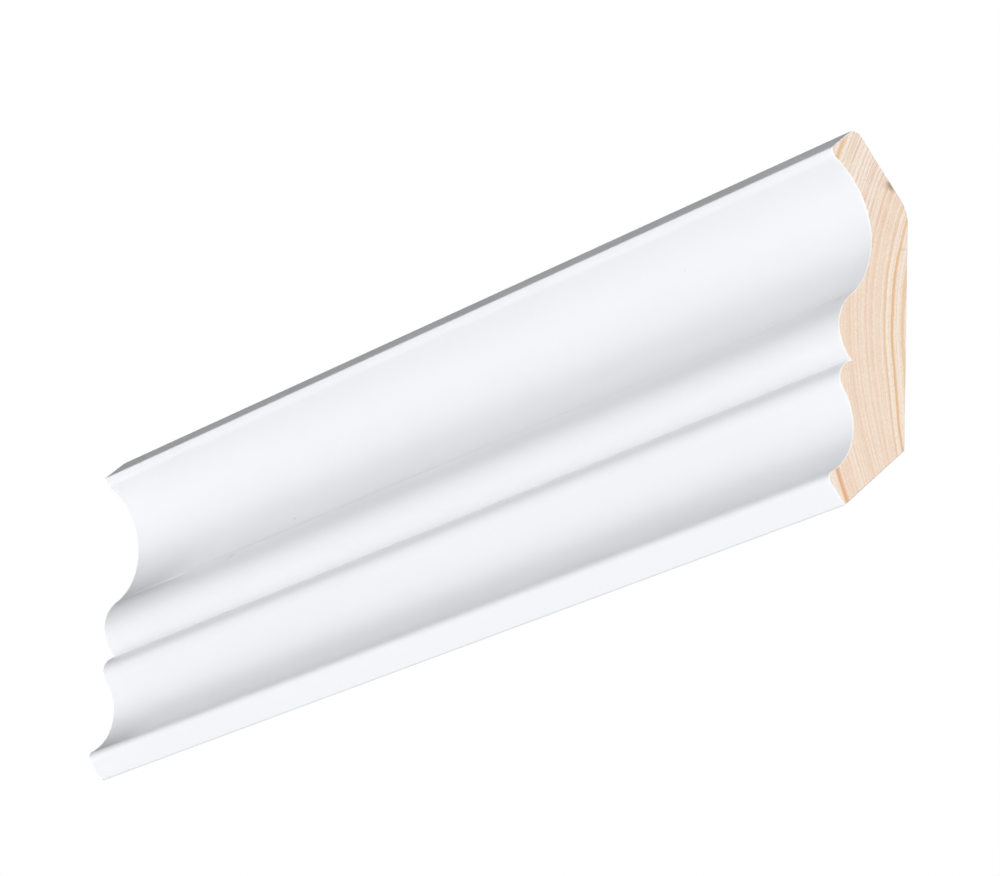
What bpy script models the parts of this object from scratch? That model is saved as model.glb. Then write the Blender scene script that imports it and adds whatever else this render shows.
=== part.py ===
# A length of cove moulding: one piece of pine, milled to a moulded face and painted white.
# It leans across the corner between a wall and a ceiling. Two narrow flats on its back, called lands here,
# bear on the wall and on the ceiling, and the broad flat between them leaves the corner itself empty.
# Units are metres and +Z is up. +X runs along the length, the wall is the plane y = 0, and the room lies
# towards -Y. The origin is the middle of the land that bears on the wall.

from math import acos, atan2, ceil, cos, pi, radians, remainder, sin, sqrt, tan

import bmesh
import bpy
from mathutils import Matrix, Vector

# Overall sizes
LENGTH = 0.320                  # cut square at both ends
WIDTH = 0.0949                  # across the slope, from the wall edge to the ceiling edge
THICKNESS = 0.024               # from the back to the nose of the lip
SPRING = radians(45)            # how far the back leans out from the wall

# Back
WALL_LAND = 0.0255              # width of the flat that bears on the wall
CEILING_LAND = 0.0240           # width of the flat that bears on the ceiling
SHOULDER_ROUND = 0.008          # eased corner between the back and the ceiling land
HEEL_ROUND = 0.001              # corner between the back and the wall land

# Edges. The narrow face beside each edge stands square to its land and ends at a nose.
CEILING_EDGE_ROUND = 0.0024
LIP_ROUND = 0.0022              # nose of the lip, above the large cove
LIP_CORNER_ROUND = 0.0006       # crisper corner where the narrow face meets that nose
LIP_CORNER_PROUD = 0.0003       # how far the corner stands in front of the nose
WALL_EDGE_ROUND = 0.0004
TOE_ROUND = 0.0022              # nose of the toe, below the small cove
TOE_STANDS = 0.023              # from the back to the nose of the toe

# Bead and roll, which meet at a sharp quirk
QUIRK_STANDS = 0.017            # from the back to the bottom of the quirk
QUIRK_HEIGHT = 0.0363           # from the wall edge, across the slope
BEAD_ROUND = 0.011
BEAD_PROUD = 0.004              # how far the bead's nose stands in front of the quirk
ROLL_ROUND = 0.0048
ROLL_PROUD = 0.0034             # how far the roll's nose stands in front of the quirk

# Coves. Each is one round hollow that runs into the round above it and the round below it.
LARGE_COVE_WEB = 0.0115         # timber left behind the large cove
SMALL_COVE_WEB = 0.016          # timber left behind the small cove

# Facets
CURVE_GAP = 0.00001             # most that a facet may lie off its true curve
SAME_POINT = 0.000002           # outline points closer than this are one point
SMOOTH_BELOW = radians(35)      # facets that meet at less than this are shaded as one curve

# White paint, satin
PAINT_COLOUR = (0.84, 0.85, 0.87, 1.0)
PAINT_ROUGHNESS = 0.42

# The section is drawn upright: x = 0 is the back, the moulded face is towards -x, and y runs up from the
# wall edge. These are the ways the lands run on that drawing.
UP_THE_WALL = Vector((sin(SPRING), cos(SPRING)))
DOWN_THE_WALL = -UP_THE_WALL
OUT_FROM_THE_WALL = Vector((-cos(SPRING), sin(SPRING)))


def clear_scene():
    for item in list(bpy.data.objects):
        bpy.data.objects.remove(item, do_unlink=True)


def edge_from_corner(land, edge_round, along, into_timber):
    """From the corner where a land meets the back to the centre of the rounded edge at its other side."""
    return along * (land - edge_round) + into_timber * edge_round


TO_CEILING_EDGE = edge_from_corner(CEILING_LAND, CEILING_EDGE_ROUND, OUT_FROM_THE_WALL, DOWN_THE_WALL)
TO_WALL_EDGE = edge_from_corner(WALL_LAND, WALL_EDGE_ROUND, DOWN_THE_WALL, OUT_FROM_THE_WALL)
SHOULDER_CORNER = Vector((0, WIDTH - CEILING_EDGE_ROUND - TO_CEILING_EDGE.y))
HEEL_CORNER = Vector((0, WALL_EDGE_ROUND - TO_WALL_EDGE.y))


def eased_corner(corner, radius, turn, towards):
    """Centre of the round that eases a corner of the back, on the side of it that towards (1 or -1) gives."""
    return corner + Vector((-radius, towards * radius * tan(turn / 2)))


def nose(edge, edge_round, facing, stands, nose_round):
    """Centre of the nose at the front of the narrow face that runs out from an edge and looks along facing."""
    reach = edge.dot(facing) + edge_round - nose_round
    x = nose_round - stands
    return Vector((x, (reach - x * facing.x) / facing.y))


def round_at_quirk(quirk, radius, proud, towards):
    """Centre of a round that starts in the quirk and lies above it (towards = 1) or below it (-1)."""
    rise = sqrt(radius ** 2 - (radius - proud) ** 2)
    return quirk + Vector((radius - proud, towards * rise))


def cove_between(above, below, web):
    """The hollow that touches a round above and a round below and leaves that much timber behind it."""
    (top, top_round), (bottom, bottom_round) = above, below

    def rise(radius, centre, nose_round):
        """Height between the hollow's centre and the round's, when the two touch."""
        depth = nose_round - centre.x - web
        return sqrt(max(0, depth * (2 * (radius + nose_round) - depth)))

    # The two rises grow with the radius, and together they fill the height between the rounds.
    too_small, too_large = 0, 10 * WIDTH
    for halving in range(60):
        radius = (too_small + too_large) / 2
        filled = rise(radius, top, top_round) + rise(radius, bottom, bottom_round)
        if filled < top.y - bottom.y:
            too_small = radius
        else:
            too_large = radius
    centre = Vector((-web - radius, top.y - rise(radius, top, top_round)))
    return centre, -radius


def rounds():
    """What the outline runs round, anticlockwise with the timber on its left, each a centre and a radius.

    A hollow has a negative radius, and a sharp corner has none."""
    shoulder = eased_corner(SHOULDER_CORNER, SHOULDER_ROUND, pi / 2 - SPRING, -1), SHOULDER_ROUND
    heel = eased_corner(HEEL_CORNER, HEEL_ROUND, SPRING, 1), HEEL_ROUND
    ceiling_edge = SHOULDER_CORNER + TO_CEILING_EDGE, CEILING_EDGE_ROUND
    wall_edge = HEEL_CORNER + TO_WALL_EDGE, WALL_EDGE_ROUND
    corner_stands = THICKNESS + LIP_CORNER_PROUD
    lip_corner = nose(*ceiling_edge, OUT_FROM_THE_WALL, corner_stands, LIP_CORNER_ROUND), LIP_CORNER_ROUND
    lip = nose(*ceiling_edge, OUT_FROM_THE_WALL, THICKNESS, LIP_ROUND), LIP_ROUND
    toe = nose(*wall_edge, DOWN_THE_WALL, TOE_STANDS, TOE_ROUND), TOE_ROUND
    quirk = Vector((-QUIRK_STANDS, QUIRK_HEIGHT)), 0
    bead = round_at_quirk(quirk[0], BEAD_ROUND, BEAD_PROUD, 1), BEAD_ROUND
    roll = round_at_quirk(quirk[0], ROLL_ROUND, ROLL_PROUD, -1), ROLL_ROUND
    large_cove = cove_between(lip, bead, LARGE_COVE_WEB)
    small_cove = cove_between(roll, toe, SMALL_COVE_WEB)
    above_quirk = [heel, shoulder, ceiling_edge, lip_corner, lip, large_cove, bead]
    return above_quirk + [quirk, roll, small_cove, toe, wall_edge]


def straight_between(first, second):
    """Heading of the straight run that leaves one round and meets the next, with the timber on its left."""
    (start, start_round), (end, end_round) = first, second
    gap = end - start
    # Rounds that touch have no straight run, and their ratio may come out a hair past 1.
    lean = acos(max(-1, min(1, (end_round - start_round) / gap.length)))
    return atan2(gap.y, gap.x) + lean - pi / 2


def outline():
    """Points of the section, anticlockwise on the drawing."""
    ring = rounds()
    leaving = [straight_between(here, after) for here, after in zip(ring, ring[1:] + ring[:1])]
    arriving = leaving[-1:] + leaving[:-1]
    points = []
    for (centre, radius), start, end in zip(ring, arriving, leaving):
        turn = remainder(end - start, 2 * pi)
        facets = 0
        if radius:
            widest_facet = 2 * acos(1 - CURVE_GAP / abs(radius))
            facets = ceil(abs(turn) / widest_facet)
        for count in range(facets + 1):
            heading = start + turn * count / max(facets, 1)
            points.append(centre + radius * Vector((sin(heading), -cos(heading))))
    return points


def paint_material():
    material = bpy.data.materials.new("white_paint")
    material.use_nodes = True
    shader = material.node_tree.nodes["Principled BSDF"]
    shader.inputs["Base Color"].default_value = PAINT_COLOUR
    shader.inputs["Roughness"].default_value = PAINT_ROUGHNESS
    shader.inputs["Metallic"].default_value = 0.0
    return material


def moulding():
    """The whole length: the section as a face at one end, drawn out to the other end."""
    mesh = bpy.data.meshes.new("cove_moulding")
    bm = bmesh.new()
    bm.faces.new([bm.verts.new((-LENGTH / 2, point.x, point.y)) for point in outline()])
    bmesh.ops.remove_doubles(bm, verts=bm.verts, dist=SAME_POINT)
    drawn_out = bmesh.ops.extrude_face_region(bm, geom=bm.faces[:])
    far_end = [item for item in drawn_out["geom"] if isinstance(item, bmesh.types.BMVert)]
    bmesh.ops.translate(bm, verts=far_end, vec=(LENGTH, 0, 0))
    bmesh.ops.recalc_face_normals(bm, faces=bm.faces)
    bm.to_mesh(mesh)
    bm.free()
    mesh.shade_smooth()
    mesh.set_sharp_from_angle(angle=SMOOTH_BELOW)
    mesh.materials.append(paint_material())

    piece = bpy.data.objects.new("cove_moulding", mesh)
    bpy.context.scene.collection.objects.link(piece)
    # It leans out by the spring angle, and the middle of its wall land comes to the origin.
    wall_land_middle = HEEL_CORNER + DOWN_THE_WALL * WALL_LAND / 2
    lean = Matrix.Rotation(SPRING, 3, "X")
    piece.rotation_euler.x = SPRING
    piece.location = -(lean @ Vector((0, wall_land_middle.x, wall_land_middle.y)))
    return piece


clear_scene()
moulding()
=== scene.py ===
# %% [markdown]
# # A length of painted cove moulding
# The object is one stick of pine. A moulder has cut two coves, a bead and a roll along its face, and
# bevelled its back so that it leans across the corner of a wall and a ceiling. The face is painted satin
# white, and the two cut ends and the back are bare wood. So the work is in three things: a section that is
# exact, a coat of paint that is smooth but not dead, and end grain that belongs to the same tree as the long
# grain of the back.

# %% Load the frame
from math import ceil, cos, radians, sin

import bmesh
import bpy
from mathutils import Matrix, Vector


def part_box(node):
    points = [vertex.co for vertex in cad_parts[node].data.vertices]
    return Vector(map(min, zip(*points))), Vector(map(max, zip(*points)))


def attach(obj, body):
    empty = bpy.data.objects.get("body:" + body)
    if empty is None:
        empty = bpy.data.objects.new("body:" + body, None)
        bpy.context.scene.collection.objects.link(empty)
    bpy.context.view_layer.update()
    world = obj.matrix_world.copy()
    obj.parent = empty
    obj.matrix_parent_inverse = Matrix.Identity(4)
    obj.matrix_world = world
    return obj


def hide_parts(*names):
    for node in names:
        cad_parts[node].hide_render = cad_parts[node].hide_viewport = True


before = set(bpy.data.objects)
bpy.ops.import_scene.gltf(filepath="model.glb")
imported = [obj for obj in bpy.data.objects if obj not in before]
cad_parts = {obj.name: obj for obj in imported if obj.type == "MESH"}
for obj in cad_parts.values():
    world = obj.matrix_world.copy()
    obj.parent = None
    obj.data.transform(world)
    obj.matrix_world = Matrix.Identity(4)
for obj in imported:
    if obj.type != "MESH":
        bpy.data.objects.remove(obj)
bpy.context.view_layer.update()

MM = 0.001
BOX_LOW, BOX_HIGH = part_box("cove_moulding")
print("box of the moulding, mm:", [round(side / MM, 1) for side in BOX_HIGH - BOX_LOW])

# %% [markdown]
# ## The drawing board
# The moulding hangs at 45 degrees, which is awkward to measure on. A joiner lays the section flat on its
# back instead, so one helper turns a place on that drawing into a place in the room. On the drawing, out is
# the distance in front of the back and up is the distance from the wall edge, both in millimetres. The heel
# is the corner where the wall land meets the back.

# %% Turn the drawing into the room
SPRING = radians(45)
WALL_LAND = 25.5
HEEL_UP = 17.87
OUT = Vector((0, -cos(SPRING), -sin(SPRING)))
UP = Vector((0, -sin(SPRING), cos(SPRING)))
HEEL = Vector((0, BOX_HIGH.y, BOX_LOW.z + WALL_LAND * MM))


def in_the_room(along, out, up):
    """A point of the drawing, that far from the middle of the length, in metres in the room."""
    point = HEEL + OUT * (out * MM) + UP * ((up - HEEL_UP) * MM)
    return Vector((along * MM, point.y, point.z))


print("the heel is at, mm:", [round(c / MM, 2) for c in in_the_room(0, 0, HEEL_UP)])

# %% [markdown]
# ## The blank
# The frame already holds the true section, with its round stretches within a hundredth of a millimetre.
# Drawing it again would only add error, so the section is taken from a copy of the frame's solid: the copy
# is merged, everything but its near end is deleted, and the end's triangles are dissolved into one face.

# %% Take the section from one end
SAME_POINT = 0.002 * MM
SQUARE = 0.999


def choose(piece, kind, test):
    """In edit mode, selects only the faces or edges that pass a test, and returns how many."""
    bpy.ops.mesh.select_mode(type=kind)
    bpy.ops.mesh.select_all(action="DESELECT")
    shape = bmesh.from_edit_mesh(piece.data)
    chosen = [item for item in (shape.faces if kind == "FACE" else shape.edges) if test(item)]
    for item in chosen:
        item.select_set(True)
    bmesh.update_edit_mesh(piece.data)
    return len(chosen)


moulding = bpy.data.objects.new("moulding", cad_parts["cove_moulding"].data.copy())
bpy.context.scene.collection.objects.link(moulding)
moulding.data.materials.clear()
bpy.ops.object.select_all(action="DESELECT")
bpy.context.view_layer.objects.active = moulding
moulding.select_set(True)
bpy.ops.object.mode_set(mode="EDIT")
bpy.ops.mesh.select_mode(type="FACE")
bpy.ops.mesh.select_all(action="SELECT")
bpy.ops.mesh.remove_doubles(threshold=SAME_POINT)
choose(moulding, "FACE", lambda face: face.normal.x < SQUARE)
bpy.ops.mesh.delete(type="FACE")
bpy.ops.mesh.select_all(action="SELECT")
bpy.ops.mesh.dissolve_faces()
section = bmesh.from_edit_mesh(moulding.data)
print("the section has", len(section.verts), "points and", len(section.faces), "face")

# %% [markdown]
# ## Points along the straight runs
# A saw leaves a slightly ragged rim, and that needs points close together all the way round. The arcs have
# them already, and cutting their facets finer would only flatten their shading. The straight runs are single
# edges, so each is subdivided, which also keeps the shading of a round corner from creeping along the flat
# beside it.

# %% Subdivide the straight runs
STRAIGHT_FROM = 1.5 * MM
RIM_STEP = 0.4 * MM


def cuts_for(edge):
    """How many cuts bring a straight run down to short steps. The facets of an arc get none."""
    length = edge.calc_length()
    return ceil(length / RIM_STEP) - 1 if length > STRAIGHT_FROM else 0


for cuts in sorted({cuts_for(edge) for edge in section.edges} - {0}):
    choose(moulding, "EDGE", lambda edge: cuts_for(edge) == cuts)
    bpy.ops.mesh.subdivide(number_cuts=cuts)
print("the rim now has", len(bmesh.from_edit_mesh(moulding.data).edges), "edges")

# %% [markdown]
# ## Drawn out to length
# Now the section is drawn along X like timber through a moulder. It could be one extrusion, but a short step
# at each end keeps the shading of the rim from bleeding down the length, and a few steps between keep the
# faces from being needles.

# %% Draw the section out
LENGTH = BOX_HIGH.x - BOX_LOW.x
END_STEP = 0.6 * MM
MIDDLE_STEPS = 8
CUBIC_CM = 0.01 ** 3
middle_step = (LENGTH - 2 * END_STEP) / MIDDLE_STEPS
bpy.ops.mesh.select_mode(type="FACE")
bpy.ops.mesh.select_all(action="SELECT")
for step in [END_STEP] + [middle_step] * MIDDLE_STEPS + [END_STEP]:
    bpy.ops.mesh.extrude_region_move(TRANSFORM_OT_translate={"value": (-step, 0, 0)})
bpy.ops.mesh.select_all(action="SELECT")
bpy.ops.mesh.normals_make_consistent(inside=False)
stick = bmesh.from_edit_mesh(moulding.data)
print("drawn out:", len(stick.faces), "faces, volume cm3:", round(stick.calc_volume() / CUBIC_CM, 1))

# %% [markdown]
# ## The two saw cuts
# Where the saw came through, the coat of paint shows its thickness as a thin pale line round the end grain.
# An inset gives that line a band of its own, and a second one keeps the flat of the cut out of what follows.
# Then a small bevel takes the knife edge off the rim.

# %% Inset the ends and ease the rim
PAINT_BAND = 0.34 * MM
QUIET_BAND = 0.04 * MM
RIM_EASE = 0.1 * MM
RIM_FACETS = 3


def on_an_end(face):
    """True for a face of either cut."""
    return abs(face.normal.x) > SQUARE


def on_the_rim(edge):
    """True where an end meets a side."""
    return len(edge.link_faces) == 2 and on_an_end(edge.link_faces[0]) != on_an_end(edge.link_faces[1])


choose(moulding, "FACE", on_an_end)
bpy.ops.mesh.inset(thickness=PAINT_BAND, use_even_offset=True)
bpy.ops.mesh.inset(thickness=QUIET_BAND, use_even_offset=True)
rim_edges = choose(moulding, "EDGE", on_the_rim)
bpy.ops.mesh.bevel(offset=RIM_EASE, segments=RIM_FACETS, affect="EDGES", clamp_overlap=False)
bpy.ops.object.mode_set(mode="OBJECT")
print("rim edges eased:", rim_edges, "faces:", len(moulding.data.polygons))

# %% [markdown]
# ## A rim that a saw left
# The teeth pull out a few fibres, so the rim isn't a drawn line. The points of the eased rim get a vertex
# group, and a Displace modifier pushes them in, never out, by a fine cloud texture.

# %% Rough the rim
RAG_DEPTH = 0.09 * MM
RAG_GRAIN = 0.7 * MM
FLAT_END = 0.005 * MM
RIM_REACH = 1.1 * RIM_EASE


def from_the_end(point):
    """Distance from a point to the nearer cut end, along the length."""
    return min(BOX_HIGH.x - point.x, point.x - BOX_LOW.x)


rim_points = [v.index for v in moulding.data.vertices if FLAT_END < from_the_end(v.co) < RIM_REACH]
moulding.vertex_groups.new(name="rim").add(rim_points, 1.0, "REPLACE")
fibres = bpy.data.textures.new("torn_fibres", type="CLOUDS")
fibres.noise_scale = RAG_GRAIN
rag = moulding.modifiers.new("rag", "DISPLACE")
rag.texture = fibres
rag.texture_coords = "LOCAL"
rag.vertex_group = "rim"
rag.direction = "NORMAL"
rag.mid_level = 0.0
rag.strength = -RAG_DEPTH
bpy.context.view_layer.objects.active = moulding
bpy.ops.object.modifier_apply(modifier=rag.name)
print("rim points roughed:", len(rim_points))

# %% [markdown]
# ## Which faces are painted
# The spray gun only sees the front: everything that looks away from the back is painted, and the lands, the
# back and the cuts stay bare. The sum of a normal's Y and Z says which, because the back faces exactly
# between them. Each point of a painted face also gets the number 1, each bare point on a cut's rim gets -1,
# and all the others get 0. Blender blends it across the inset band, so the wood's material can draw the
# edge of the paint there and, on the bare corners, a grey that is painted shade of the eased arris with a
# little dust.

# %% Choose the painted faces and mark the paint's edge
PAINTED, BARE = 0, 1
WRAPS_ROUND = 0.45
# -1 marks the bare rim of a cut, which the wood's material greys with painted shade and a little dust
COATED, BARE_RIM = 1.0, -1.0
SMOOTH_UNDER = radians(35)


def looks_to_the_front(normal):
    """True where a side, or the eased rim that runs into it, turns away from the back."""
    side = Vector((normal.y, normal.z))
    return side.x + side.y < WRAPS_ROUND * side.length


painted_points, bare_points = set(), set()
for face in moulding.data.polygons:
    painted = not on_an_end(face) and looks_to_the_front(face.normal)
    face.material_index = PAINTED if painted else BARE
    if painted:
        painted_points.update(face.vertices)
    elif not on_an_end(face):
        bare_points.update(face.vertices)
coat = moulding.data.attributes.new("coat", "FLOAT", "POINT")
for index in bare_points:
    if from_the_end(moulding.data.vertices[index].co) < RIM_REACH:
        coat.data[index].value = BARE_RIM
for index in painted_points:
    coat.data[index].value = COATED
bpy.ops.object.shade_smooth_by_angle(angle=SMOOTH_UNDER)
print("painted faces:", sum(1 for face in moulding.data.polygons if face.material_index == PAINTED))

# %% [markdown]
# ## Helpers for the finishes
# A finish is a tree of nodes, and each line of the cells below adds one. An input may be a number, a colour
# or another node's output, so a line reads like a sentence: what is made, and out of what.

# %% Start a material and add nodes to it


def new_material(name):
    """A material with nothing but a shader, and where it is on the object in metres."""
    material = bpy.data.materials.new(name)
    material.use_nodes = True
    tree = material.node_tree
    shader = tree.nodes["Principled BSDF"]
    place = tree.nodes.new("ShaderNodeTexCoord").outputs["Object"]
    return material, tree, shader, place


def add(tree, kind, out=0, inputs=(), **settings):
    """Adds one node, fills its inputs in order or by name, and returns one of its outputs."""
    node = tree.nodes.new("ShaderNode" + kind)
    for name, value in settings.items():
        setattr(node, name, value)
    pairs = inputs.items() if isinstance(inputs, dict) else enumerate(inputs)
    for name, value in pairs:
        if isinstance(value, bpy.types.NodeSocket):
            tree.links.new(value, node.inputs[name])
        else:
            node.inputs[name].default_value = value
    return node.outputs[out]


def mix(tree, share, first, second):
    """A colour that goes from first to second as share goes from 0 to 1."""
    node = tree.nodes.new("ShaderNodeMix")
    node.data_type = "RGBA"
    for name, value in (("Factor_Float", share), ("A_Color", first), ("B_Color", second)):
        socket = next(s for s in node.inputs if s.identifier == name)
        if isinstance(value, bpy.types.NodeSocket):
            tree.links.new(value, socket)
        else:
            socket.default_value = value if isinstance(value, (int, float)) else (*value, 1.0)
    return next(s for s in node.outputs if s.identifier == "Result_Color")


print("helpers for nodes:", [helper.__name__ for helper in (new_material, add, mix)])

# %% [markdown]
# ## Helpers for patterns
# Every pattern on this object is made of three things: sums on numbers, a soft step from one value to another,
# and cloudy noise. Noise pulled out along X looks like something that a cutter or a tree left along the stick.
# Below, a pattern is three values: features to a millimetre, detail, and how far it is pulled out along X, Y
# and Z. A fade is two or four: where it starts and ends, and what it goes from and to.

# %% Sums, fades, noise and spots


def sums(tree, operation, *numbers):
    """One sum, such as ADD or MULTIPLY, on one or two numbers."""
    return add(tree, "Math", inputs=numbers, operation=operation)


def fade(tree, value, start, end, low=0.0, high=1.0):
    """Goes smoothly from low to high as value goes from start to end."""
    return add(tree, "MapRange", inputs=(value, start, end, low, high), interpolation_type="SMOOTHSTEP")


def noise(tree, place, per_mm, detail, stretch):
    """Cloudy noise around a half, with so many features to a millimetre, pulled out along some axes."""
    spread = add(tree, "Mapping", inputs={"Vector": place, "Scale": [per_mm / MM / s for s in stretch]})
    return add(tree, "TexNoise", inputs={"Vector": spread, "Scale": 1.0, "Detail": detail})


def near(tree, place, centre, radius, strength, squash=(1, 1, 1)):
    """As much as strength at a place on the object, and 0 beyond a radius round it, in millimetres."""
    offset = add(tree, "VectorMath", inputs=(place, in_the_room(*centre)), operation="SUBTRACT")
    scaled = add(tree, "VectorMath", inputs=(offset, squash), operation="MULTIPLY")
    distance = add(tree, "VectorMath", 1, inputs=(scaled,), operation="LENGTH")
    return sums(tree, "MULTIPLY", fade(tree, distance, radius * MM, 0.0), strength)


print("helpers for patterns:", [helper.__name__ for helper in (sums, fade, noise, near)])

# %% [markdown]
# ## Satin paint
# Primer and a sprayed top coat hide the grain, so up close the paint is white with very little in it: a faint
# lengthwise ripple from the cutters, the fine peel of a sprayed coat, a few nibs of dust, and a slow drift of
# tone and gloss. The ripple and the peel go into the bump and stay far under a tenth of a millimetre.

# %% Make the paint
PAINT_WHITE = (0.845, 0.855, 0.875)
PAINT_SHADE = (0.83, 0.84, 0.862)
PAINT_IOR = 1.5
DRIFT = (0.03, 2.0, (4, 1, 1))
GLOSS = (0.12, 2.0, (3, 1, 1))
GLOSS_TO_ROUGHNESS = (0.3, 0.7, 0.29, 0.35)
RIPPLE = (0.35, 2.0, (60, 1, 1))
PEEL = (1.6, 3.0, (1, 1, 1))
PEEL_SHARE = 0.35
PAINT_RELIEF, PAINT_RELIEF_STRENGTH = 0.02 * MM, 0.5
SPECK = (0.42, 0.40, 0.38)
MARKS = (
    # along, out and up in mm, radius in mm, strength
    ((-76.2, 14.03, 57.53), 0.65, 0.85),
    ((-99.9, 18.57, 51.66), 2.3, 0.26),
    ((93.7, 15.24, 79.4), 0.4, 0.25),
)

paint, tree, shader, place = new_material("satin_paint")
colour = mix(tree, noise(tree, place, *DRIFT), PAINT_SHADE, PAINT_WHITE)
for centre, radius, strength in MARKS:
    colour = mix(tree, near(tree, place, centre, radius, strength), colour, SPECK)
tree.links.new(colour, shader.inputs["Base Color"])
sheen = fade(tree, noise(tree, place, *GLOSS), *GLOSS_TO_ROUGHNESS)
tree.links.new(sheen, shader.inputs["Roughness"])
shader.inputs["IOR"].default_value = PAINT_IOR
peel = sums(tree, "MULTIPLY", noise(tree, place, *PEEL), PEEL_SHARE)
height = sums(tree, "ADD", noise(tree, place, *RIPPLE), peel)
bump = {"Height": height, "Distance": PAINT_RELIEF, "Strength": PAINT_RELIEF_STRENGTH}
tree.links.new(add(tree, "Bump", inputs=bump), shader.inputs["Normal"])
moulding.data.materials.append(paint)
print("paint:", len(tree.nodes), "nodes")

# %% [markdown]
# ## Pine, one tree for the ends and the back
# Growth rings are tubes round the pith, which for this stick lay about 80 mm behind the back. If the distance
# from the pith decides the colour, the arcs on the cut ends and the long flames on the back come out of the
# same rule and meet at the corners. Taking the pith's place away and dropping X leaves the way across the
# grain, and its length is that distance. The places on the drawing, out and up, are measured here as well.

# %% Measure the distance from the pith
PITH_BEHIND = 80.4
PITH_UP = 49.85
WITHOUT_X = (0, 1, 1)

pine, tree, shader, place = new_material("bare_pine")
pith = in_the_room(0, -PITH_BEHIND, PITH_UP)
from_pith = add(tree, "VectorMath", inputs=(place, pith), operation="SUBTRACT")
across = add(tree, "VectorMath", inputs=(from_pith, WITHOUT_X), operation="MULTIPLY")
distance = add(tree, "VectorMath", 1, inputs=(across,), operation="LENGTH")
along = add(tree, "SeparateXYZ", inputs=(place,))
behind = sums(tree, "SUBTRACT", BOX_HIGH.x, along)
from_heel = add(tree, "VectorMath", inputs=(place, HEEL), operation="SUBTRACT")
out = add(tree, "VectorMath", 1, inputs=(from_heel, OUT), operation="DOT_PRODUCT")
up = add(tree, "VectorMath", 1, inputs=(from_heel, UP), operation="DOT_PRODUCT")
print("the pith is at, mm:", [round(c / MM, 1) for c in pith])

# %% [markdown]
# ## Rings that wander
# No tree is a set of true tubes. This one tapered and its trunk waved, so the distance drifts along the
# stick, and the waves grow from nothing at the cut on show. A waver and a finer rag keep the lines from
# looking ruled, and low on the section, near the back, the rings swerve away from the pith.

# %% Let the rings wander
TRUNK_TAPER = 3.4 * MM
TRUNK_WAVES, TRUNK_PATTERN = 3.0 * MM, (0.016, 3.0, (1, 0.6, 0.6))
WAVES_GROW_OVER = 0.35
RING_WAVER, WAVER_PATTERN = 0.5 * MM, (0.16, 2.0, (12, 1, 1))
RING_RAG, RAG_PATTERN = 0.3 * MM, (0.9, 2.0, (12, 1, 1))
SWERVE = 2.4 * MM
SWERVE_UP = (38, 14)
SWERVE_OUT = (9, 0)


def swing(pattern, reach):
    """Noise that swings round zero, by up to half of reach either way."""
    return sums(tree, "MULTIPLY", sums(tree, "SUBTRACT", noise(tree, place, *pattern), 0.5), reach)


def fade_up(start, end, low=0.0, high=1.0):
    """Fades as up goes from start to end on the drawing."""
    return fade(tree, up, (start - HEEL_UP) * MM, (end - HEEL_UP) * MM, low, high)


def fade_out(start, end, low=0.0, high=1.0):
    """Fades as out goes from start to end on the drawing."""
    return fade(tree, out, start * MM, end * MM, low, high)


share_behind = sums(tree, "DIVIDE", behind, LENGTH)
taper = sums(tree, "MULTIPLY", share_behind, -TRUNK_TAPER)
waves_here = sums(tree, "MULTIPLY", fade(tree, share_behind, 0.0, WAVES_GROW_OVER), TRUNK_WAVES)
wander = swing(TRUNK_PATTERN, waves_here)
waver = swing(WAVER_PATTERN, RING_WAVER)
ragged = swing(RAG_PATTERN, RING_RAG)
swerve = sums(tree, "MULTIPLY", fade_up(*SWERVE_UP), fade_out(*SWERVE_OUT, 0.0, -SWERVE))
ring = distance
for shift in (taper, wander, waver, ragged, swerve):
    ring = sums(tree, "ADD", ring, shift)
print("the rings wander with", len(tree.nodes), "nodes so far")

# %% [markdown]
# ## Years
# Late wood is what one sees as a ring. It darkens slowly through the summer and stops short at winter, so
# each year fades in on the pith's side and ends abruptly on the bark's side. The years that stand out on the
# cut are listed: a few broad orange ones, and thin brown ones. Towards the lip the broad ones are
# narrower and the thin ones are stronger, and the broad ones fade out just under the top.

# %% List the years and draw them
BROAD_YEARS = (
    # distance from the pith, breadth of the late wood in mm, strength
    (81.9, 1.4, 0.65),
    (85.1, 1.2, 0.92),
    (87.4, 0.75, 0.65),
    (109.3, 1.6, 1.0),
)
THIN_YEARS = (
    (89.4, 0.5, 0.35),
    (91.6, 0.5, 0.6),
    (93.1, 0.45, 0.65),
    (95.6, 0.5, 0.5),
    (97.1, 0.4, 0.45),
    (98.3, 0.5, 0.65),
    (99.3, 0.4, 0.55),
    (101.1, 0.4, 0.5),
    (102.2, 0.5, 0.65),
    (105.0, 0.6, 0.65),
    (106.3, 0.4, 0.5),
    (107.3, 0.4, 0.5),
)
SUMMER, WINTER = 0.95, 0.45
HIGH_UP = (55, 80)
NARROWER_HIGH_UP = (1.0, 1.45)
BROAD_HIGH_UP = (1.0, 0.9)
BROAD_AT_THE_TOP = (90.5, 93.5, 1.0, 0.3)


def late_wood(years, narrowing):
    """How much late wood there is at a distance from the pith, the most of all the years given."""
    most = 0.0
    for from_centre, breadth, strength in years:
        gap = sums(tree, "MULTIPLY", sums(tree, "SUBTRACT", ring, from_centre * MM), narrowing)
        summer = fade(tree, gap, -breadth * SUMMER * MM, 0.0)
        winter = fade(tree, gap, breadth * WINTER * MM, 0.0)
        year = sums(tree, "MULTIPLY", sums(tree, "MULTIPLY", summer, winter), strength)
        most = sums(tree, "MAXIMUM", most, year)
    return most


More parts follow.
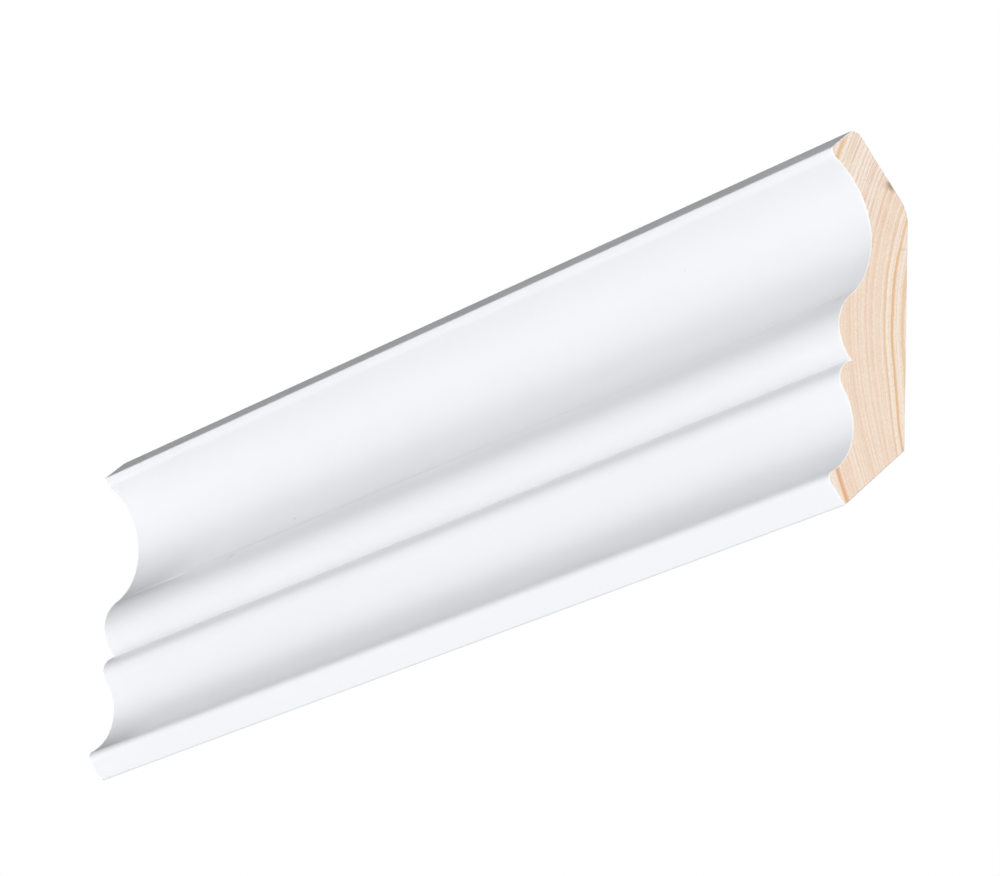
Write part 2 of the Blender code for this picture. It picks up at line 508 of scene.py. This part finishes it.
high_up = fade_up(*HIGH_UP)
broad = late_wood(BROAD_YEARS, fade(tree, high_up, 0.0, 1.0, *NARROWER_HIGH_UP))
broad = sums(tree, "MULTIPLY", broad, fade(tree, high_up, 0.0, 1.0, *BROAD_HIGH_UP))
broad = sums(tree, "MULTIPLY", broad, fade_up(*BROAD_AT_THE_TOP))
thin = late_wood(THIN_YEARS, 1.0)
print("years drawn:", len(BROAD_YEARS) + len(THIN_YEARS))

# %% [markdown]
# ## The years nobody would count
# Between the years listed run many faint ones. They are the cell borders of a Voronoi texture of one
# dimension, because its cells are as uneven as the summers were. Noise that only changes from ring to ring
# adds the finest lines, and a patchy one breaks them all up a little along the grain.

# %% Add the faint years and the finest lines
FAINT_YEARS_PER_MM = 0.9
FAINT_BREADTH = 0.3
FAINT_STRENGTH = 0.42
PATCHES = (0.22, 2.0, (8, 1, 1))
PATCHES_TO_SHARE = (0.25, 0.6, 0.5, 1.0)
FINE_LINES_PER_MM, FINE_DETAIL, FINE_ROUGHNESS = 1.6, 3.0, 0.6
FINE_TO_SHARE = (0.4, 0.75, 0.0, 0.24)
THIN_HIGH_UP = (0.7, 1.05)

faint = tree.nodes.new("ShaderNodeTexVoronoi")
faint.voronoi_dimensions = "1D"
faint.feature = "DISTANCE_TO_EDGE"
faint.inputs["Scale"].default_value = FAINT_YEARS_PER_MM / MM
tree.links.new(ring, faint.inputs["W"])
to_border = faint.outputs["Distance"]
border = fade(tree, to_border, FAINT_BREADTH * FAINT_YEARS_PER_MM, 0.0, 0.0, FAINT_STRENGTH)
thin = sums(tree, "MAXIMUM", thin, border)
thin = sums(tree, "MULTIPLY", thin, fade(tree, noise(tree, place, *PATCHES), *PATCHES_TO_SHARE))


def ring_noise(per_mm, detail, roughness):
    """Noise that only changes from ring to ring."""
    rings_only = add(tree, "CombineXYZ", inputs=(ring,))
    settings = {"Vector": rings_only, "Scale": per_mm / MM, "Detail": detail, "Roughness": roughness}
    return add(tree, "TexNoise", inputs=settings)


fine = ring_noise(FINE_LINES_PER_MM, FINE_DETAIL, FINE_ROUGHNESS)
thin = sums(tree, "ADD", thin, fade(tree, fine, *FINE_TO_SHARE))
thin = sums(tree, "MULTIPLY", thin, fade(tree, high_up, 0.0, 1.0, *THIN_HIGH_UP))
late = sums(tree, "MAXIMUM", thin, broad)
print("faint years, about:", round(FAINT_YEARS_PER_MM, 1), "to a millimetre")

# %% [markdown]
# ## The colours of the wood
# Early wood is cream and late wood is brown or orange, and neither is the same all over. The cream is paler
# near the pith, towards the lip, in the outermost rings and in slow drifts. The broad years turn from orange
# to honey near the pith and towards the lip.

# %% Colour the wood
EARLY_WOOD = (0.755, 0.63, 0.51)
PALE_WOOD = (0.775, 0.697, 0.61)
ORANGE_WOOD = (0.64, 0.345, 0.172)
HONEY_WOOD = (0.66, 0.395, 0.165)
BROWN_WOOD = (0.585, 0.345, 0.215)
PALE_FROM_UP = (62, 78)
PALE_FROM_RING = (92, 97)
PALE_BEFORE_RING = (90, 86, 0.0, 0.8)
OUTERMOST_FROM_RING = (109.9, 110.6)
DRIFTS_PER_MM, DRIFT_DETAIL, DRIFT_ROUGHNESS = 0.18, 1.0, 0.5
DRIFT_TO_PALE = (0.4, 0.8, 0.0, 0.5)


def fade_ring(start, end, low=0.0, high=1.0):
    """Fades as the distance from the pith goes from start to end, in millimetres."""
    return fade(tree, ring, start * MM, end * MM, low, high)


towards_pith = fade_ring(*PALE_BEFORE_RING)
pale = sums(tree, "MULTIPLY", fade_up(*PALE_FROM_UP), fade_ring(*PALE_FROM_RING))
pale = sums(tree, "MAXIMUM", pale, fade_ring(*OUTERMOST_FROM_RING))
pale = sums(tree, "MAXIMUM", pale, towards_pith)
slow = ring_noise(DRIFTS_PER_MM, DRIFT_DETAIL, DRIFT_ROUGHNESS)
pale = sums(tree, "MAXIMUM", pale, fade(tree, slow, *DRIFT_TO_PALE))
wood = mix(tree, pale, EARLY_WOOD, PALE_WOOD)
wood = mix(tree, thin, wood, BROWN_WOOD)
honey = sums(tree, "MAXIMUM", high_up, towards_pith)
wood = mix(tree, broad, wood, mix(tree, honey, ORANGE_WOOD, HONEY_WOOD))
print("the wood's colour takes", len(tree.nodes), "nodes so far")

# %% [markdown]
# ## Pores and blemishes
# Across a cut the wood is a bundle of straws, so it is finely speckled. Along the back the same straws lie
# flat and show as hair lines. One noise, stretched 40 to 1 along the length, does both, because a cut across
# it only sees the specks. The cut on show also has a short crack that starts at the back and ends in a brown
# speck, and a dark bruise where it meets the ceiling land.

# %% Speckle, bruise and crack the wood
STRAWS = (1.5, 3.0, (40, 1, 1))
STRAWS_TO_BROWN = (0.35, 0.75, 0.0, 0.25)
NEAR_END = BOX_HIGH.x / MM
STAIN = (0.50, 0.34, 0.22)
BRUISE = (0.26, 0.23, 0.15)
BLEMISHES = (
    # along, out and up in mm, radius in mm, strength, how much it is squashed along X, Y and Z, colour
    ((NEAR_END, 5.8, 83.8), 2.4, 0.95, (1, 1, 1.6), BRUISE),
    ((NEAR_END, 7.1, 83.5), 1.9, 0.45, (1, 1, 1), STAIN),
    ((NEAR_END, 1.9, 68.6), 0.8, 0.5, (1, 1, 1), STAIN),
)
CRACK_UP, CRACK_DEPTH, CRACK_BREADTH = 68.9, 2.0, 0.2
CRACK_REACH, CRACK_STRENGTH = 6.0, 0.6

straws = noise(tree, place, *STRAWS)
wood = mix(tree, fade(tree, straws, *STRAWS_TO_BROWN), wood, BROWN_WOOD)
for centre, radius, strength, squash, stain in BLEMISHES:
    wood = mix(tree, near(tree, place, centre, radius, strength, squash), wood, stain)
off_crack = sums(tree, "ABSOLUTE", sums(tree, "SUBTRACT", up, (CRACK_UP - HEEL_UP) * MM))
crack = sums(tree, "MULTIPLY", fade(tree, off_crack, CRACK_BREADTH * MM, 0.0), fade_out(CRACK_DEPTH, 0.0))
crack = sums(tree, "MULTIPLY", crack, fade(tree, behind, CRACK_REACH * MM, 0.0))
wood = mix(tree, sums(tree, "MULTIPLY", crack, CRACK_STRENGTH), wood, STAIN)
print("blemishes on the cut:", len(BLEMISHES), "and one crack")

# %% [markdown]
# ## The edge of the paint
# The number that each rim point was given fades across the inset band. Where it is high, the band is the
# edge of the coat, made uneven by noise because the saw tears it. Where it is low, the bare rim is greyed:
# painted shade of the eased arris, with a little dust.

# %% Draw the paint's edge, and the painted shade and dust on the bare rim
# the grey of the bare rim: painted shade of the eased arris, with a little dust
RIM_DUST_AND_SHADE = (0.36, 0.34, 0.31)
RIM_DUST_AND_SHADE_SHARE = (-0.15, -0.7, 0.0, 0.6)
TORN = (1.1, 3.0, (1, 1, 1))
PAINT_LINE_SHARE = (0.3, 0.6, 0.0, 0.8)

edge = add(tree, "Attribute", 2, attribute_name="coat")
# painted shade: the bare rim is greyed as if its eased arris were in shade, with a little dust
wood = mix(tree, fade(tree, edge, *RIM_DUST_AND_SHADE_SHARE), wood, RIM_DUST_AND_SHADE)
torn_edge = sums(tree, "ADD", edge, swing(TORN, 1.0))
wood = mix(tree, fade(tree, torn_edge, *PAINT_LINE_SHARE), wood, PAINT_WHITE)
tree.links.new(wood, shader.inputs["Base Color"])
print("the wood's colour takes", len(tree.nodes), "nodes in all")

# %% [markdown]
# ## The feel of the wood
# Late wood is hard and planes up smoother than early wood, and it stands a little proud. The straws and the
# lines of the saw go into the bump with it, a twentieth of a millimetre deep at most.

# %% Finish the wood
WOOD_ROUGHNESS = (0.66, 0.5)
SAW = (0.9, 2.0, (1, 1, 14))
SAW_SHARE, LATE_SHARE = 0.6, 0.5
WOOD_RELIEF, WOOD_RELIEF_STRENGTH = 0.05 * MM, 0.6

tree.links.new(fade(tree, late, 0.0, 1.0, *WOOD_ROUGHNESS), shader.inputs["Roughness"])
height = sums(tree, "ADD", straws, sums(tree, "MULTIPLY", late, LATE_SHARE))
height = sums(tree, "ADD", height, sums(tree, "MULTIPLY", noise(tree, place, *SAW), SAW_SHARE))
bump = {"Height": height, "Distance": WOOD_RELIEF, "Strength": WOOD_RELIEF_STRENGTH}
tree.links.new(add(tree, "Bump", inputs=bump), shader.inputs["Normal"])
moulding.data.materials.append(pine)
print("pine:", len(tree.nodes), "nodes")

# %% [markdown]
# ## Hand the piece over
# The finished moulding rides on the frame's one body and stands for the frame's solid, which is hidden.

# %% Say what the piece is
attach(moulding, "root")
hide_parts("cove_moulding")
print("faces in all:", len(moulding.data.polygons))

# %% [markdown]
# ## The floor
# The moulding hangs in the air, high up, as it would in a room. The floor is a pale sheet well under the
# camera, so it only shows in the views from above. It throws the overhead light back up, softly, from the
# whole room.

# %% Lay the floor
FLOOR_DEPTH = -1.6
FLOOR_SIZE = 24.0
FLOOR_ROUGHNESS = 0.8
FLOOR_PATTERN = (0.004, 2.0, (1, 1, 1))
FLOOR_GREY, FLOOR_PALE = (0.80, 0.80, 0.80), (0.82, 0.82, 0.82)

bpy.ops.object.select_all(action="DESELECT")
bpy.ops.mesh.primitive_plane_add(size=FLOOR_SIZE, location=(0, 0, FLOOR_DEPTH))
floor = bpy.context.object
floor.name = "floor"
floor_finish, tree, shader, place = new_material("pale_floor")
tone = mix(tree, noise(tree, place, *FLOOR_PATTERN), FLOOR_GREY, FLOOR_PALE)
tree.links.new(tone, shader.inputs["Base Color"])
shader.inputs["Roughness"].default_value = FLOOR_ROUGHNESS
floor.data.materials.append(floor_finish)
print("floor at", FLOOR_DEPTH, "m")

# %% [markdown]
# ## The camera
# The photograph looks up at the moulding from below its near end, through a long lens, with the camera
# rolled. A place, a point to aim at and a roll say all of that.

# %% Set up the camera
CAMERA_PLACE = Vector((1.0011, -0.22663, -0.78834))
CAMERA_AIM = Vector((0.0, -0.0335, 0.04394))
CAMERA_ROLL = radians(50.231)
LENS = 180.62
SEES_AS_FAR_AS = 50.0
camera = bpy.data.objects.new("camera", bpy.data.cameras.new("camera"))
bpy.context.scene.collection.objects.link(camera)
turn = (CAMERA_AIM - CAMERA_PLACE).to_track_quat("-Z", "Y").to_matrix().to_4x4()
camera.matrix_world = Matrix.Translation(CAMERA_PLACE) @ turn @ Matrix.Rotation(CAMERA_ROLL, 4, "Z")
camera.data.lens = LENS
camera.data.clip_end = SEES_AS_FAR_AS
bpy.context.scene.camera = camera
print("camera", round((CAMERA_AIM - CAMERA_PLACE).length, 3), "m from what it aims at")

# %% [markdown]
# ## Light
# White paint is read by its shading alone. Most light comes from below and from the near end, so the narrow
# face under the toe and the upper part of each cove are brightest, and what turns up or sideways is greyer.
# How bright each light should be was found by rendering the scene once for each light alone and fitting
# their sum to the shading along the section. The light behind is a little cool, and it makes the sheen on
# the narrow face beside the lip.

# %% Place the lights
CENTRE = in_the_room(0, 10.0, 47.5)
LIGHT_DISTANCE = 1.2
LIGHT_BREADTH = 0.8
WHITE, COOL = (1.0, 1.0, 1.0), (0.84, 0.92, 1.0)
LIGHTS = (
    # name, degrees round from the front towards the near end, degrees up, watts, colour
    ("near_end", 90, 0, 10.4, WHITE),
    ("far_end", -90, 0, 6.0, WHITE),
    ("under_front", 0, -60, 5.2, WHITE),
    ("under_back", 180, -30, 1.6, WHITE),
    ("under_far_end", -45, -60, 0.7, WHITE),
    ("front", 0, 0, 0.5, WHITE),
    ("behind", 160, 45, 7.0, COOL),
)


def direction(round_from_front, upwards):
    """The way from the object to a light, in the same angles as the views."""
    turned, raised = radians(round_from_front), radians(upwards)
    return Vector((sin(turned) * cos(raised), -cos(turned) * cos(raised), sin(raised)))


for name, round_from_front, upwards, watts, colour in LIGHTS:
    lamp = bpy.data.lights.new(name, "AREA")
    lamp.shape = "DISK"
    lamp.size = LIGHT_BREADTH
    lamp.energy = watts
    lamp.color = colour
    light = bpy.data.objects.new(name, lamp)
    bpy.context.scene.collection.objects.link(light)
    towards = direction(round_from_front, upwards)
    light.location = CENTRE + towards * LIGHT_DISTANCE
    light.rotation_euler = towards.to_track_quat("Z", "Y").to_euler()
    light.visible_camera = False
print("lights round the moulding:", len(LIGHTS))

# %% [markdown]
# ## The light overhead
# A broad sun straight above stands for a bright sky. It only reaches the back and the floor, and the floor
# sends it up to the face. A new sun lamp points straight down, so it isn't turned.

# %% Hang the overhead light
OVERHEAD_STRENGTH = 2.24
OVERHEAD_BREADTH = radians(20)
overhead = bpy.data.objects.new("overhead", bpy.data.lights.new("overhead", "SUN"))
overhead.data.energy = OVERHEAD_STRENGTH
overhead.data.angle = OVERHEAD_BREADTH
bpy.context.scene.collection.objects.link(overhead)
print("overhead light:", OVERHEAD_STRENGTH)

# %% [markdown]
# ## The backdrop
# The world is plain white where the camera looks at it, and black for everything else, so that it neither
# lights the paint nor shows in its sheen. The Standard view leaves the colours as they were mixed.

# %% Paint the world
UNSEEN, SEEN = 0.0, 1.0
world = bpy.data.worlds.new("backdrop")
world.use_nodes = True
bpy.context.scene.world = world
tree = world.node_tree
seen = tree.nodes.new("ShaderNodeLightPath").outputs["Is Camera Ray"]
strength = fade(tree, seen, 0.0, 1.0, UNSEEN, SEEN)
background = tree.nodes["Background"]
background.inputs["Color"].default_value = (*WHITE, 1.0)
tree.links.new(strength, background.inputs["Strength"])
bpy.context.scene.view_settings.view_transform = "Standard"
bpy.context.scene.view_settings.look = "None"
print("backdrop:", len(tree.nodes), "nodes")
